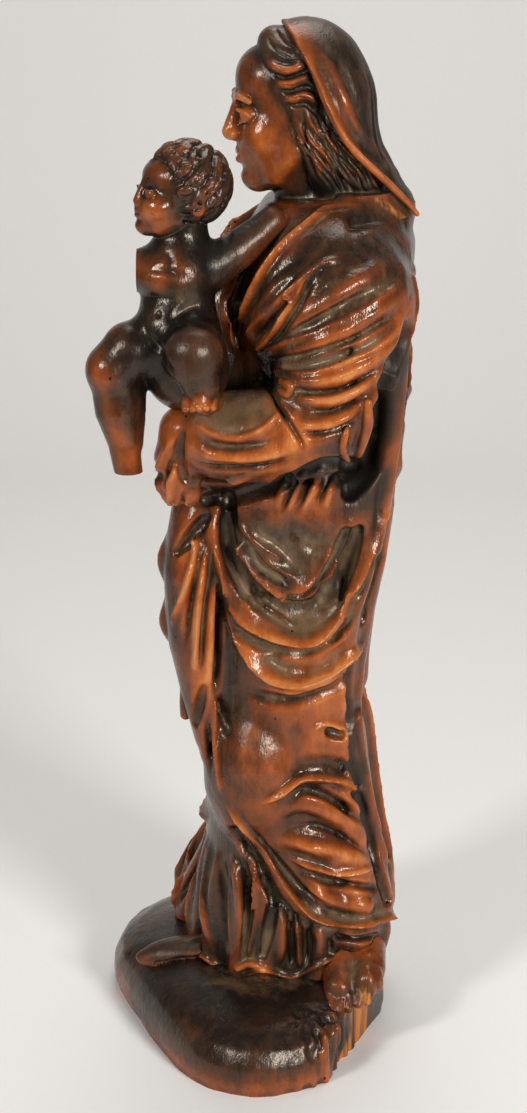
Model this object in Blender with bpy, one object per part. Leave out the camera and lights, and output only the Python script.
"""Carved wooden mother and child, glued up from dowelled blocks and carved as one.

Metres, +Z up. She faces -Y and her left side is +X. The origin lies on the underside of the mound, and
the figure stands in its own frame, whose origin is the top of the mound.
"""

import math
from collections import namedtuple

import bmesh
import bpy
from mathutils import Matrix, Vector

# Mound that the figure stands on: its outline on the floor, from her left round by her front
BASE_HEIGHT = 0.036
BASE_OUTLINE = (
    (0.099, 0.002), (0.091, -0.019), (0.075, -0.034), (0.050, -0.049), (0.021, -0.062), (-0.018, -0.076),
    (-0.050, -0.072), (-0.074, -0.056), (-0.089, -0.028), (-0.089, 0.012), (-0.077, 0.046), (-0.046, 0.066),
    (-0.012, 0.071), (0.020, 0.070), (0.052, 0.064), (0.078, 0.046), (0.092, 0.024),
)
BASE_PROFILE = (
    (0.0, 0.955), (0.14, 1.0), (0.42, 0.99), (0.66, 0.935), (0.85, 0.82), (0.96, 0.66), (1.0, 0.50),
)
BREAK_POINT = (0.010, 0.070)
BREAK_TURN = math.radians(-24)

# Glue line between neighbouring blocks, and the dowels across it
GLUE_GAP = 0.0003
DOWEL_RADIUS = 0.0035
DOWEL_HOLD = 0.012
SMALL_DOWEL_RADIUS = 0.0022
SMALL_DOWEL_HOLD = 0.007
DOWEL_CLEARANCE = 0.0003
DOWEL_SIDES = 12

# Joint planes between the blocks, in the figure's frame
BACK_JOINT_Y = 0.046
LEFT_JOINT_X = 0.022
LEFT_JOINT_Z = 0.256
SLEEVE_TOP_Z = 0.321
ELBOW_JOINT_Y = 0.014
SLEEVE_FALL_Y = -0.030
RIGHT_JOINT_X = -0.052
RIGHT_JOINT_Z = 0.262
FRONT_JOINT_Y = -0.018
FRONT_LOW_Z = 0.122
FRONT_HIGH_Z = 0.305
NECK_JOINT_Z = 0.400
VEIL_DROP = 0.008
VEIL_JOINT_Z = NECK_JOINT_Z - VEIL_DROP

# Fineness of the carved surfaces
FIGURE_VOXEL = 0.0028
HEAD_VOXEL = 0.0020
CHILD_VOXEL = 0.0018
FIGURE_KEEP = 0.060
HEAD_KEEP = 0.085
CHILD_KEEP = 0.08
SMOOTH_ROUNDS = 3
SMOOTH_FACTOR = 0.5
RING_SIDES = 32
TUBE_SIDES = 12
CAP_TURNS = (20, 42, 66)
BALL_SEGMENTS = 24
BALL_RINGS = 14
STOCK = 0.6

# Horizontal outline of a mass: its height and how far it reaches to her right, left, front and back
Level = namedtuple("Level", "z right left front back")
GOWN_SQUARENESS = 2.4
GOWN_LEVELS = (
    Level(-0.002, -0.072, 0.040, -0.027, 0.072),
    Level(0.024, -0.066, 0.038, -0.026, 0.077),
    Level(0.059, -0.060, 0.036, -0.024, 0.068),
    Level(0.094, -0.057, 0.036, -0.023, 0.062),
    Level(0.139, -0.057, 0.036, -0.021, 0.056),
    Level(0.179, -0.058, 0.036, -0.021, 0.059),
    Level(0.219, -0.060, 0.036, -0.024, 0.067),
    Level(0.254, -0.062, 0.036, -0.026, 0.071),
    Level(0.299, -0.070, 0.040, -0.024, 0.076),
    Level(NECK_JOINT_Z - 0.051, -0.076, 0.044, -0.016, 0.080),
    Level(NECK_JOINT_Z - 0.021, -0.070, 0.040, -0.004, 0.079),
    Level(NECK_JOINT_Z - 0.004, -0.050, 0.025, 0.002, 0.070),
    Level(NECK_JOINT_Z + 0.006, -0.036, 0.008, 0.008, 0.052),
)
DRAPERY_SQUARENESS = 2
DRAPERY_LEVELS = (
    Level(0.116, 0.008, 0.028, -0.026, -0.010),
    Level(0.144, 0.000, 0.030, -0.034, -0.010),
    Level(0.179, -0.008, 0.032, -0.042, -0.010),
    Level(0.217, -0.010, 0.034, -0.044, -0.010),
    Level(0.246, -0.010, 0.026, -0.040, -0.008),
    Level(0.278, -0.012, 0.014, -0.032, -0.006),
)

# A station on a limb or fold: where its middle lies and its radius
Knot = namedtuple("Knot", "x y z radius")
LEFT_ARM = (
    Knot(0.024, 0.042, 0.356, 0.038),
    Knot(0.038, 0.040, 0.325, 0.031),
    Knot(0.046, 0.032, 0.304, 0.025),
)
LEFT_FOREARM = (
    Knot(0.047, 0.030, 0.300, 0.024),
    Knot(0.049, 0.006, 0.297, 0.023),
    Knot(0.048, -0.018, 0.297, 0.021),
    Knot(0.046, -0.030, 0.297, 0.015),
)
SLEEVE_FALL = (
    Knot(0.046, -0.028, 0.296, 0.013),
    Knot(0.046, -0.036, 0.281, 0.012),
    Knot(0.046, -0.032, 0.268, 0.009),
)
RIGHT_ARM = (
    Knot(-0.056, 0.038, 0.358, 0.031),
    Knot(-0.066, 0.034, 0.318, 0.026),
    Knot(-0.068, 0.026, 0.292, 0.023),
    Knot(-0.052, 0.000, 0.284, 0.020),
    Knot(-0.028, -0.018, 0.280, 0.016),
    Knot(-0.010, -0.026, 0.276, 0.011),
)
SHOULDER_CENTRE = (0.018, 0.036, 0.354)
SHOULDER_HALF = (0.043, 0.042, 0.046)
KNEE_CENTRE = (0.014, 0.004, 0.108)
KNEE_HALF = (0.030, 0.029, 0.044)

# Main folds on her left flank: each is a ridge through (y, z), with its radius
Fold = namedtuple("Fold", "radius points")
FOLD_FADE = 0.6
FOLD_EDGE = 0.98
FLANK_SINK = 0.001
FLANK_FOLDS = (
    Fold(0.006, ((-0.014, 0.254), (-0.012, 0.226), (0.002, 0.200), (0.021, 0.188), (0.040, 0.190),
                 (0.053, 0.210), (0.062, 0.244))),
    Fold(0.005, ((-0.010, 0.212), (0.002, 0.178), (0.020, 0.162), (0.038, 0.164), (0.050, 0.180))),
    Fold(0.005, ((-0.004, 0.240), (0.014, 0.222), (0.030, 0.214), (0.044, 0.230), (0.050, 0.256))),
    Fold(0.005, ((0.004, 0.098), (0.026, 0.104), (0.046, 0.090), (0.058, 0.072))),
    Fold(0.005, ((0.006, 0.078), (0.030, 0.076), (0.050, 0.058), (0.064, 0.044))),
    Fold(0.006, ((-0.006, 0.078), (0.012, 0.050), (0.034, 0.030), (0.056, 0.022), (0.070, 0.024))),
)

# Upright folds of the hem, by their bearing round the figure, and of the mantle's back
HEM_FOLD_BEARINGS = (-75, -55, -35, -15, 10, 35, 58, 150, 170, 195, 215)
HEM_FOLD_RADIUS = 0.0065
HEM_FOLD_TOP = 0.058
BACK_FOLD_PLACES = (-0.046, -0.029, -0.010, 0.008, 0.024)
BACK_FOLD_RADIUS = 0.006
BACK_FOLD_TOP = 0.330
BACK_FOLD_SINK = 0.003
BACK_FOLD_STATIONS = 9

# Her head and veil, in a frame at the middle of the neck joint
NECK_PLACE = (-0.015, 0.026)
NECK_RADIUS = 0.0155
NECK_DEPTH = 0.014
NECK_RISE = 0.026
NECK_LEAN = 0.002
HEAD_CENTRE = (0.0, -0.002, 0.040)
HEAD_HALF = (0.024, 0.028, 0.034)
FACE_CENTRE = (0.0, -0.014, 0.028)
FACE_HALF = (0.020, 0.019, 0.028)
NOSE = (
    Knot(0.0, -0.031, 0.040, 0.0035),
    Knot(0.0, -0.036, 0.028, 0.0042),
)
HAIR = (
    Knot(0.022, -0.016, 0.052, 0.008),
    Knot(0.025, -0.004, 0.040, 0.010),
    Knot(0.021, 0.008, 0.022, 0.011),
)
VEIL_CENTRE = (0.0, 0.003, 0.048)
VEIL_HALF = (0.031, 0.029, 0.036)
CROWN_CENTRE = (0.0, -0.002, 0.053)
CROWN_HALF = (0.029, 0.026, 0.031)
VEIL_SPREAD = 1.5
VEIL_FALL = (
    Knot(0.0, 0.008, 0.042, 0.024),
    Knot(0.0, 0.018, 0.018, 0.020),
    Knot(0.0, 0.031, 0.003, 0.016),
    Knot(0.0, 0.041, -0.006, 0.013),
)

# The child, facing her left, in a frame at the seat on her sleeve
SEAT = (0.044, -0.030, 0.318)
CHILD_TORSO = (
    Knot(-0.002, 0.000, 0.010, 0.0205),
    Knot(-0.004, -0.005, 0.032, 0.0200),
    Knot(-0.005, -0.004, 0.048, 0.0175),
    Knot(-0.006, -0.003, 0.060, 0.0180),
    Knot(-0.008, -0.002, 0.074, 0.0110),
)
CHILD_SHOULDERS = (
    Knot(-0.006, -0.025, 0.056, 0.0105),
    Knot(-0.007, -0.004, 0.059, 0.0115),
    Knot(-0.008, 0.011, 0.058, 0.0105),
)
CHILD_HEAD_CENTRE = (-0.008, -0.002, 0.094)
CHILD_HEAD_HALF = (0.021, 0.0215, 0.0235)
CHILD_LEFT_ARM = (
    Knot(-0.008, 0.013, 0.059, 0.0095),
    Knot(-0.011, 0.026, 0.073, 0.0090),
    Knot(-0.016, 0.038, 0.083, 0.0080),
    Knot(-0.022, 0.046, 0.087, 0.0065),
)
CHILD_LEFT_LEG = (
    (Knot(0.002, 0.002, 0.022, 0.0155), Knot(0.014, 0.003, 0.024, 0.0155),
     Knot(0.025, 0.004, 0.021, 0.0140)),
    (Knot(0.026, 0.005, 0.020, 0.0130), Knot(0.024, 0.006, 0.004, 0.0105),
     Knot(0.023, 0.007, -0.008, 0.0075)),
    (Knot(0.021, 0.007, -0.009, 0.0070), Knot(0.033, 0.009, -0.011, 0.0055)),
)
CHILD_RIGHT_LEG = (
    (Knot(0.000, -0.012, 0.022, 0.0160), Knot(0.004, -0.026, 0.020, 0.0145),
     Knot(0.006, -0.035, 0.011, 0.0125)),
    (Knot(0.006, -0.035, 0.010, 0.0120), Knot(0.006, -0.032, -0.010, 0.0105),
     Knot(0.005, -0.030, -0.024, 0.0080), Knot(0.006, -0.029, -0.038, 0.0075)),
)
CHILD_NECK_Z = 0.072
CHILD_HIP_X = 0.0165
CHILD_HIP_Y = -0.0195
CHILD_HIP_TOP_Z = 0.042
CHILD_KNEES_Y = -0.014
LOST_ARM_Y = -0.023
LOST_ARM_BORE = 0.010
LOST_FOOT_Z = -0.038

# Her feet: a shoe tip under the front hem, and a bare foot at the back
RIGHT_SHOE = (
    Knot(0.010, -0.018, 0.004, 0.0090),
    Knot(0.010, -0.040, 0.001, 0.0080),
    Knot(0.008, -0.056, -0.003, 0.0055),
)
LEFT_FOOT = (
    Knot(0.020, 0.060, 0.007, 0.0130),
    Knot(0.040, 0.056, 0.002, 0.0110),
    Knot(0.058, 0.050, -0.006, 0.0080),
)

# Where the dowels cross their joints; the coordinate across the joint comes from the joint plane
BASE_DOWEL_PLACES = ((-0.010, 0.000), (-0.022, 0.030))
BACK_DOWEL_X = -0.015
BACK_DOWEL_HEIGHTS = {"upper": 0.340, "middle": 0.220, "lower": 0.040}
SHOULDER_DOWEL = (0.030, 0.350)
ELBOW_DOWEL = (0.047, 0.300)
CUFF_DOWEL = (0.046, 0.297)
RIGHT_ARM_DOWEL = (0.030, 0.345)
DRAPERY_DOWEL = (0.012, 0.205)
VEIL_DOWEL_RISE = 0.050
FOOT_DOWEL = (0.044, 0.049, -0.004)
SHOE_DOWEL = (0.010, -0.026, 0.005)
SEAT_DOWEL = (0.000, 0.006, -0.002)
LEFT_LEG_DOWEL = (0.003, 0.0225)
RIGHT_LEG_DOWEL = (0.003, 0.020)

# Colours and roughness of the waxed wood, from the darkest ground to the bare dowels
WOODS = {
    "dark_wood": ((0.045, 0.022, 0.012), 0.38),
    "brown_wood": ((0.16, 0.055, 0.020), 0.36),
    "red_wood": ((0.25, 0.075, 0.022), 0.36),
    "dowel_wood": ((0.42, 0.24, 0.11), 0.60),
}


def clear_scene():
    """Empties the scene, so that only the figure is left in it."""
    for thing in list(bpy.data.objects):
        bpy.data.objects.remove(thing, do_unlink=True)


def wood(name):
    """The material of that name from WOODS, made on first use."""
    found = bpy.data.materials.get(name)
    if found:
        return found
    colour, roughness = WOODS[name]
    made = bpy.data.materials.new(name)
    made.use_nodes = True
    shader = made.node_tree.nodes["Principled BSDF"]
    shader.inputs["Base Color"].default_value = (*colour, 1)
    shader.inputs["Roughness"].default_value = roughness
    shader.inputs["Metallic"].default_value = 0
    return made


def add_object(name, bm, parent, material=None):
    """An object that holds the shape, under the parent empty; with no material it is a hidden helper."""
    mesh = bpy.data.meshes.new(name)
    bm.to_mesh(mesh)
    bm.free()
    made = bpy.data.objects.new(name, mesh)
    bpy.context.scene.collection.objects.link(made)
    made.parent = parent
    if material:
        mesh.materials.append(wood(material))
    else:
        made.hide_render = True
        made.display_type = "WIRE"
    return made


def add_frame(name, parent, place):
    """An empty at that place, which pieces are modelled in."""
    made = bpy.data.objects.new(name, None)
    made.parent = parent
    made.location = place
    bpy.context.scene.collection.objects.link(made)
    return made


def skin_rings(bm, rings):
    """Closes a stack of like rings into one shell, with a flat cap on each end."""
    loops = [[bm.verts.new(point) for point in ring] for ring in rings]
    for low, high in zip(loops, loops[1:]):
        for i in range(len(low)):
            j = (i + 1) % len(low)
            bm.faces.new((low[i], low[j], high[j], high[i]))
    bm.faces.new(reversed(loops[0]))
    bm.faces.new(loops[-1])


def round_outline(level, squareness):
    """Points round a superellipse that fills the level's box."""
    middle = Vector(((level.left + level.right) / 2, (level.front + level.back) / 2, level.z))
    across = (level.left - level.right) / 2
    along = (level.back - level.front) / 2
    power = 2 / squareness
    points = []
    for i in range(RING_SIDES):
        turn = 2 * math.pi * i / RING_SIDES
        c, s = math.cos(turn), math.sin(turn)
        x = across * math.copysign(abs(c) ** power, c)
        y = along * math.copysign(abs(s) ** power, s)
        points.append(middle + Vector((x, y, 0)))
    return points


def add_stack(bm, levels, squareness):
    """A shell through horizontal outlines."""
    skin_rings(bm, [round_outline(level, squareness) for level in levels])


def between(a, b, c, d, t):
    """A point of the smooth curve from b to c, whose neighbours are a and d."""
    bend = 2 * a - 5 * b + 4 * c - d
    twist = 3 * b - a - 3 * c + d
    return b + 0.5 * ((c - a) * t + bend * t ** 2 + twist * t ** 3)


def smooth_loop(points, count):
    """Evenly many points round a smooth closed curve, counted anticlockwise from above."""
    rows = [Vector(point) for point in reversed(points)]
    found = []
    for i in range(count):
        whole, share = divmod(i * len(rows) / count, 1)
        corners = [rows[(int(whole) + step) % len(rows)] for step in (-1, 0, 1, 2)]
        found.append(between(*corners, share))
    return found


def smooth_path(knots, steps=3):
    """Points and radii along a smooth curve through the knots."""
    rows = [Vector(knot) for knot in knots]
    rows = [2 * rows[0] - rows[1], *rows, 2 * rows[-1] - rows[-2]]
    path = []
    for corners in zip(rows, rows[1:], rows[2:], rows[3:]):
        path += [between(*corners, i / steps) for i in range(steps)]
    path.append(rows[-2])
    return [(Vector(p[:3]), p[3]) for p in path]


def add_tube(bm, knots, spread=1.0):
    """A tapered limb or fold along the knots with rounded ends, widened across X by the spread."""
    path = smooth_path(knots)
    first, last = path[0], path[-1]
    lead = (path[1][0] - first[0]).normalized()
    tail = (last[0] - path[-2][0]).normalized()
    ends = [(math.sin(turn), math.cos(turn)) for turn in map(math.radians, CAP_TURNS)]
    head = [(first[0] - lead * first[1] * out, first[1] * size) for out, size in reversed(ends)]
    toe = [(last[0] + tail * last[1] * out, last[1] * size) for out, size in ends]
    path = [*head, *path, *toe]
    rings = []
    for i, (point, radius) in enumerate(path):
        ahead = path[min(i + 1, len(path) - 1)][0] - path[max(i - 1, 0)][0]
        turn = ahead.to_track_quat("Z", "X")
        ring = []
        for j in range(TUBE_SIDES):
            angle = 2 * math.pi * j / TUBE_SIDES
            offset = turn @ Vector((radius * math.cos(angle), radius * math.sin(angle), 0))
            ring.append(point + Vector((offset.x * spread, offset.y, offset.z)))
        rings.append(ring)
    skin_rings(bm, rings)


def add_ball(bm, centre, half):
    """An ellipsoid."""
    place = Matrix.Translation(centre) @ Matrix.Diagonal((*half, 1))
    bmesh.ops.create_uvsphere(bm, u_segments=BALL_SEGMENTS, v_segments=BALL_RINGS, radius=1, matrix=place)


def gown_reach(z):
    """The gown's outline at a height, between its levels."""
    for low, high in zip(GOWN_LEVELS, GOWN_LEVELS[1:]):
        if z <= high.z:
            break
    share = min(1, max(0, (z - low.z) / (high.z - low.z)))
    return Level(*(a + (b - a) * share for a, b in zip(low, high)))


def on_left_flank(y, z):
    """The point of the gown's left side at that depth and height."""
    level = gown_reach(z)
    middle_y = (level.front + level.back) / 2
    share = min(FOLD_EDGE, abs(y - middle_y) / ((level.back - level.front) / 2))
    reach = (1 - share ** GOWN_SQUARENESS) ** (1 / GOWN_SQUARENESS)
    middle_x = (level.left + level.right) / 2
    return Vector((middle_x + (level.left - middle_x) * reach, y, z))


def on_back(x, z):
    """The point of the gown's back at that width and height."""
    level = gown_reach(z)
    middle_x = (level.left + level.right) / 2
    share = min(FOLD_EDGE, abs(x - middle_x) / ((level.left - level.right) / 2))
    reach = (1 - share ** GOWN_SQUARENESS) ** (1 / GOWN_SQUARENESS)
    middle_y = (level.front + level.back) / 2
    return Vector((x, middle_y + (level.back - middle_y) * reach, z))


def on_bearing(bearing, z):
    """The point of the gown at that bearing, counted from her left towards her back, and height."""
    level = gown_reach(z)
    turn = math.radians(bearing)
    power = 2 / GOWN_SQUARENESS
    c, s = math.cos(turn), math.sin(turn)
    x = (level.left + level.right) / 2 + (level.left - level.right) / 2 * math.copysign(abs(c) ** power, c)
    y = (level.front + level.back) / 2 + (level.back - level.front) / 2 * math.copysign(abs(s) ** power, s)
    return Vector((x, y, z))


def ridge(points, radius):
    """Knots of a fold through points that already lie on the cloth; it fades out at both ends."""
    ends = (0, len(points) - 1)
    return [Knot(*point, radius * (FOLD_FADE if i in ends else 1)) for i, point in enumerate(points)]


def add_folds(bm):
    """The main folds of the mantle and the hem."""
    for fold in FLANK_FOLDS:
        points = [on_left_flank(y, z) - Vector((FLANK_SINK, 0, 0)) for y, z in fold.points]
        add_tube(bm, ridge(points, fold.radius))
    for bearing in HEM_FOLD_BEARINGS:
        points = [on_bearing(bearing, z) for z in (HEM_FOLD_TOP, HEM_FOLD_TOP / 2, 0.0)]
        add_tube(bm, ridge(points, HEM_FOLD_RADIUS))
    for place in BACK_FOLD_PLACES:
        heights = [BACK_FOLD_TOP * i / BACK_FOLD_STATIONS for i in range(BACK_FOLD_STATIONS, -1, -1)]
        points = [on_back(place, z) - Vector((0, BACK_FOLD_SINK, 0)) for z in heights]
        add_tube(bm, ridge(points, BACK_FOLD_RADIUS))


def carve(name, bm, parent, voxel, keep):
    """Runs the shells of a mass together into one carved surface; it stays a hidden helper."""
    made = add_object(name, bm, parent)
    remesh = made.modifiers.new("run_together", "REMESH")
    remesh.mode = "VOXEL"
    remesh.voxel_size = voxel
    smooth = made.modifiers.new("soften", "SMOOTH")
    smooth.factor = SMOOTH_FACTOR
    smooth.iterations = SMOOTH_ROUNDS
    thin = made.modifiers.new("facets", "DECIMATE")
    thin.ratio = keep
    return made


def add_box(name, low, high, parent, material=None):
    """A rectangular block of stock between two corners."""
    bm = bmesh.new()
    size = Vector(high) - Vector(low)
    place = Matrix.Translation((Vector(low) + Vector(high)) / 2) @ Matrix.Diagonal((*size, 1))
    bmesh.ops.create_cube(bm, size=1, matrix=place)
    return add_object(name, bm, parent, material)


def boolean(piece, operation, other):
    """Adds a Boolean with another solid to the piece."""
    step = piece.modifiers.new(f"{operation.lower()}_{other.name}", "BOOLEAN")
    step.operation = operation
    step.object = other
    return piece


def block(name, mass, low, high, material, parent, less=()):
    """A block of stock between two corners, carved to the mass, with the neighbours' stock cut away."""
    made = add_box(name, low, high, parent, material)
    boolean(made, "INTERSECT", mass)
    for i, (other_low, other_high) in enumerate(less):
        boolean(made, "DIFFERENCE", add_box(f"{name}_notch_{i}", other_low, other_high, parent))
    return made


def grown(mass, name):
    """A hidden copy of a solid, larger by the glue line all round, which cuts what is fitted on it."""
    made = mass.copy()
    made.name = name
    made.hide_render = True
    made.display_type = "WIRE"
    bpy.context.scene.collection.objects.link(made)
    swell = made.modifiers.new("glue_line", "DISPLACE")
    swell.strength = GLUE_GAP
    swell.mid_level = 0
    return made


def add_rod(name, start, end, radius, parent, material=None):
    """A round rod between two points."""
    bm = bmesh.new()
    axis = Vector(end) - Vector(start)
    turn = axis.to_track_quat("Z", "X").to_matrix().to_4x4()
    place = Matrix.Translation((Vector(start) + Vector(end)) / 2) @ turn
    bmesh.ops.create_cone(bm, cap_ends=True, segments=DOWEL_SIDES, radius1=radius, radius2=radius,
                          depth=axis.length, matrix=place)
    return add_object(name, bm, parent, material)


def peg(name, point, axis, hold, radius, parent, pieces):
    """A dowel centred on a joint, held alike in the pieces on both sides of it."""
    middle, along = Vector(point), Vector(axis).normalized()
    reach = along * hold
    made = add_rod(name, middle - reach, middle + reach, radius, parent, "dowel_wood")
    reach += along * DOWEL_CLEARANCE
    bore = add_rod(f"{name}_bore", middle - reach, middle + reach, radius + DOWEL_CLEARANCE, parent)
    for piece in pieces:
        boolean(piece, "DIFFERENCE", bore)
    return made


def make_base(parent):
    """The mound, with the corner that broke away at the back."""
    bm = bmesh.new()
    outline = smooth_loop(BASE_OUTLINE, RING_SIDES)
    rings = []
    for rise, share in BASE_PROFILE:
        rings.append([Vector((x * share, y * share, rise * BASE_HEIGHT)) for x, y in outline])
    skin_rings(bm, rings)
    made = add_object("base_mound", bm, parent, "dark_wood")
    lost = add_box("lost_corner", (0, 0, -STOCK), (STOCK, STOCK, STOCK), parent)
    lost.location = (*BREAK_POINT, 0)
    lost.rotation_euler.z = BREAK_TURN
    return boolean(made, "DIFFERENCE", lost)


def figure_mass(parent):
    """The gown, mantle and arms as one carved surface."""
    bm = bmesh.new()
    add_stack(bm, GOWN_LEVELS, GOWN_SQUARENESS)
    add_stack(bm, DRAPERY_LEVELS, DRAPERY_SQUARENESS)
    for limb in (LEFT_ARM, LEFT_FOREARM, SLEEVE_FALL, RIGHT_ARM):
        add_tube(bm, limb)
    add_ball(bm, SHOULDER_CENTRE, SHOULDER_HALF)
    add_ball(bm, KNEE_CENTRE, KNEE_HALF)
    add_folds(bm)
    return carve("figure_mass", bm, parent, FIGURE_VOXEL, FIGURE_KEEP)


def head_mass(parent):
    """Her head, neck and hair with the veil, as one carved surface."""
    bm = bmesh.new()
    for centre, half in ((HEAD_CENTRE, HEAD_HALF), (FACE_CENTRE, FACE_HALF), (VEIL_CENTRE, VEIL_HALF),
                         (CROWN_CENTRE, CROWN_HALF)):
        add_ball(bm, centre, half)
    add_tube(bm, (Knot(0, NECK_LEAN, -NECK_DEPTH, NECK_RADIUS), Knot(0, -NECK_LEAN, NECK_RISE, NECK_RADIUS)))
    add_tube(bm, NOSE)
    for side in (1, -1):
        add_tube(bm, [Knot(side * k.x, k.y, k.z, k.radius) for k in HAIR])
    add_tube(bm, VEIL_FALL, VEIL_SPREAD)
    return carve("head_mass", bm, parent, HEAD_VOXEL, HEAD_KEEP)


def child_mass(parent):
    """The child, without the left arm, as one carved surface."""
    bm = bmesh.new()
    for limb in (CHILD_TORSO, CHILD_SHOULDERS, *CHILD_LEFT_LEG, *CHILD_RIGHT_LEG):
        add_tube(bm, limb)
    add_ball(bm, CHILD_HEAD_CENTRE, CHILD_HEAD_HALF)
    return carve("child_mass", bm, parent, CHILD_VOXEL, CHILD_KEEP)


def make_figure(parent, mass):
    """The blocks that gown, mantle and arms are glued up from."""
    g, far = GLUE_GAP, STOCK
    left_stock = ((LEFT_JOINT_X, -far, LEFT_JOINT_Z), (far, BACK_JOINT_Y, far))
    right_stock = ((-far, -far, RIGHT_JOINT_Z), (RIGHT_JOINT_X, BACK_JOINT_Y, far))
    front_stock = ((-far, -far, FRONT_LOW_Z), (far, FRONT_JOINT_Y, FRONT_HIGH_Z))
    sleeve_stock = ((LEFT_JOINT_X, -far, LEFT_JOINT_Z), (far, ELBOW_JOINT_Y + g, SLEEVE_TOP_Z + g))
    blocks = (
        ("gown_trunk", "brown_wood", (-far, -far, g), (far, BACK_JOINT_Y, NECK_JOINT_Z),
         (left_stock, right_stock, front_stock)),
        ("mantle_back", "brown_wood", (-far, BACK_JOINT_Y + g, g), (far, far, VEIL_JOINT_Z), ()),
        ("mantle_shoulder", "brown_wood", (LEFT_JOINT_X + g, -far, LEFT_JOINT_Z + g),
         (far, BACK_JOINT_Y, NECK_JOINT_Z), (sleeve_stock,)),
        ("left_sleeve", "red_wood", (LEFT_JOINT_X + g, SLEEVE_FALL_Y + g, LEFT_JOINT_Z + g),
         (far, ELBOW_JOINT_Y, SLEEVE_TOP_Z), ()),
        ("sleeve_fall", "red_wood", (LEFT_JOINT_X + g, -far, LEFT_JOINT_Z + g),
         (far, SLEEVE_FALL_Y, SLEEVE_TOP_Z), ()),
        ("right_arm", "brown_wood", (-far, FRONT_JOINT_Y + g, RIGHT_JOINT_Z + g),
         (RIGHT_JOINT_X - g, BACK_JOINT_Y, NECK_JOINT_Z), ()),
        ("front_drapery", "red_wood", (-far, -far, FRONT_LOW_Z + g),
         (far, FRONT_JOINT_Y - g, FRONT_HIGH_Z - g), (left_stock,)),
    )
    return {name: block(name, mass, low, high, material, parent, less)
            for name, material, low, high, less in blocks}


def make_head(parent, mass):
    """Her head on the neck joint, and the tail of the veil behind it."""
    g, far = GLUE_GAP, STOCK
    back = BACK_JOINT_Y - NECK_PLACE[1]
    low = VEIL_JOINT_Z - NECK_JOINT_Z
    head = block("head", mass, (-far, -far, g), (far, back, far), "brown_wood", parent)
    tail = block("veil_tail", mass, (-far, back + g, low + g), (far, far, far), "dark_wood", parent)
    return {"head": head, "veil_tail": tail}


def make_child(parent, mass, figure_cut):
    """The child's blocks, fitted on her sleeve and breast."""
    g, far = GLUE_GAP, STOCK
    left_leg_stock = ((CHILD_HIP_X, CHILD_KNEES_Y, -far), (far, far, CHILD_HIP_TOP_Z))
    right_leg_stock = ((-far, -far, -far), (far, CHILD_HIP_Y, CHILD_HIP_TOP_Z))
    blocks = (
        ("child_torso", (-far, LOST_ARM_Y, -far), (far, far, CHILD_NECK_Z),
         (left_leg_stock, right_leg_stock)),
        ("child_head", (-far, -far, CHILD_NECK_Z + g), (far, far, far), ()),
        ("child_left_leg", (CHILD_HIP_X + g, CHILD_KNEES_Y + g, -far), (far, far, CHILD_HIP_TOP_Z - g), ()),
        ("child_right_leg", (-far, -far, LOST_FOOT_Z), (far, CHILD_HIP_Y - g, CHILD_HIP_TOP_Z - g), ()),
    )
    pieces = {name: block(name, mass, low, high, "dark_wood", parent, less)
              for name, low, high, less in blocks}
    bm = bmesh.new()
    add_tube(bm, CHILD_LEFT_ARM)
    pieces["child_left_arm"] = add_object("child_left_arm", bm, parent, "dark_wood")
    boolean(pieces["child_left_arm"], "DIFFERENCE", grown(mass, "child_cut"))
    for piece in pieces.values():
        boolean(piece, "DIFFERENCE", figure_cut)
    return pieces


def make_feet(parent, base_cut, figure_cut):
    """The shoe tip and the bare foot, seated on the mound and against the hem."""
    pieces = {}
    for name, knots in (("right_shoe", RIGHT_SHOE), ("left_foot", LEFT_FOOT)):
        bm = bmesh.new()
        add_tube(bm, knots)
        pieces[name] = add_object(name, bm, parent, "dark_wood")
        boolean(pieces[name], "DIFFERENCE", base_cut)
        boolean(pieces[name], "DIFFERENCE", figure_cut)
    return pieces


def peg_figure(parent, pieces):
    """The dowels of mound, gown, mantle, arms and feet."""
    def large(name, point, axis, *held):
        peg(name, point, axis, DOWEL_HOLD, DOWEL_RADIUS, parent, [pieces[one] for one in held])

    def small(name, point, axis, *held):
        peg(name, point, axis, SMALL_DOWEL_HOLD, SMALL_DOWEL_RADIUS, parent, [pieces[one] for one in held])

    for place, side in zip(BASE_DOWEL_PLACES, ("front", "rear")):
        large(f"base_dowel_{side}", (*place, 0), (0, 0, 1), "base_mound", "gown_trunk")
    for side, z in BACK_DOWEL_HEIGHTS.items():
        large(f"back_dowel_{side}", (BACK_DOWEL_X, BACK_JOINT_Y, z), (0, 1, 0), "gown_trunk", "mantle_back")
    large("shoulder_dowel", (LEFT_JOINT_X, *SHOULDER_DOWEL), (1, 0, 0), "gown_trunk", "mantle_shoulder")
    large("right_arm_dowel", (RIGHT_JOINT_X, *RIGHT_ARM_DOWEL), (1, 0, 0), "gown_trunk", "right_arm")
    large("neck_dowel", (*NECK_PLACE, NECK_JOINT_Z), (0, 0, 1), "gown_trunk", "head")
    elbow_x, elbow_z = ELBOW_DOWEL
    large("elbow_dowel", (elbow_x, ELBOW_JOINT_Y, elbow_z), (0, 1, 0), "mantle_shoulder", "left_sleeve")
    cuff_x, cuff_z = CUFF_DOWEL
    small("cuff_dowel", (cuff_x, SLEEVE_FALL_Y, cuff_z), (0, 1, 0), "left_sleeve", "sleeve_fall")
    drapery_x, drapery_z = DRAPERY_DOWEL
    large("drapery_dowel", (drapery_x, FRONT_JOINT_Y, drapery_z), (0, 1, 0), "gown_trunk", "front_drapery")
    veil_z = NECK_JOINT_Z + VEIL_DOWEL_RISE
    small("veil_dowel", (NECK_PLACE[0], BACK_JOINT_Y, veil_z), (0, 1, 0), "head", "veil_tail")
    small("foot_dowel", FOOT_DOWEL, (0, 0, 1), "base_mound", "left_foot")
    small("shoe_dowel", SHOE_DOWEL, (0, 1, 0), "gown_trunk", "right_shoe")


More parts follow.
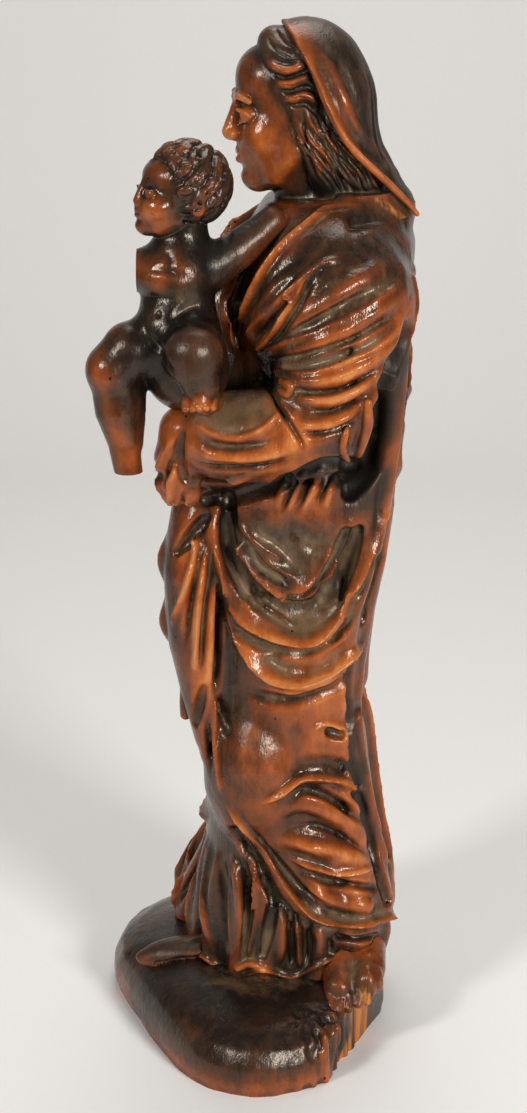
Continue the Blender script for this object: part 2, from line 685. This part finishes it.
def peg_child(parent, pieces):
    """The child's dowels, and the empty hole of the lost arm."""
    def small(name, point, axis, *held):
        peg(name, point, axis, SMALL_DOWEL_HOLD, SMALL_DOWEL_RADIUS, parent, [pieces[one] for one in held])

    small("child_seat_dowel", SEAT_DOWEL, (0, 0, 1), "left_sleeve", "child_torso")
    small("child_neck_dowel", (*CHILD_HEAD_CENTRE[:2], CHILD_NECK_Z), (0, 0, 1), "child_torso", "child_head")
    small("child_left_leg_dowel", (CHILD_HIP_X, *LEFT_LEG_DOWEL), (1, 0, 0), "child_torso", "child_left_leg")
    right_x, right_z = RIGHT_LEG_DOWEL
    right_hip = (right_x, CHILD_HIP_Y, right_z)
    small("child_right_leg_dowel", right_hip, (0, 1, 0), "child_torso", "child_right_leg")
    shoulder, elbow = (Vector(knot[:3]) for knot in CHILD_LEFT_ARM[:2])
    along = (elbow - shoulder).normalized()
    root = shoulder + along * CHILD_SHOULDERS[-1].radius
    small("child_arm_dowel", root, along, "child_torso", "child_left_arm")
    lost = CHILD_SHOULDERS[0]
    bore = add_rod("lost_arm_bore", (lost.x, LOST_ARM_Y - LOST_ARM_BORE, lost.z),
                   (lost.x, LOST_ARM_Y + LOST_ARM_BORE, lost.z), SMALL_DOWEL_RADIUS, parent)
    boolean(pieces["child_torso"], "DIFFERENCE", bore)


def main():
    """Builds the whole piece."""
    clear_scene()
    ground = add_frame("ground", None, (0, 0, 0))
    figure = add_frame("figure", None, (0, 0, BASE_HEIGHT))
    neck = add_frame("neck", figure, (*NECK_PLACE, NECK_JOINT_Z))
    seat = add_frame("seat", figure, SEAT)
    pieces = {"base_mound": make_base(ground)}
    mass = figure_mass(figure)
    base_cut = grown(pieces["base_mound"], "base_cut")
    figure_cut = grown(mass, "figure_cut")
    pieces.update(make_figure(figure, mass))
    pieces.update(make_head(neck, head_mass(neck)))
    pieces.update(make_child(seat, child_mass(seat), figure_cut))
    pieces.update(make_feet(figure, base_cut, figure_cut))
    peg_figure(figure, pieces)
    peg_child(seat, pieces)
    for piece in pieces.values():
        piece.data.shade_smooth()


if __name__ == "__main__":
    main()
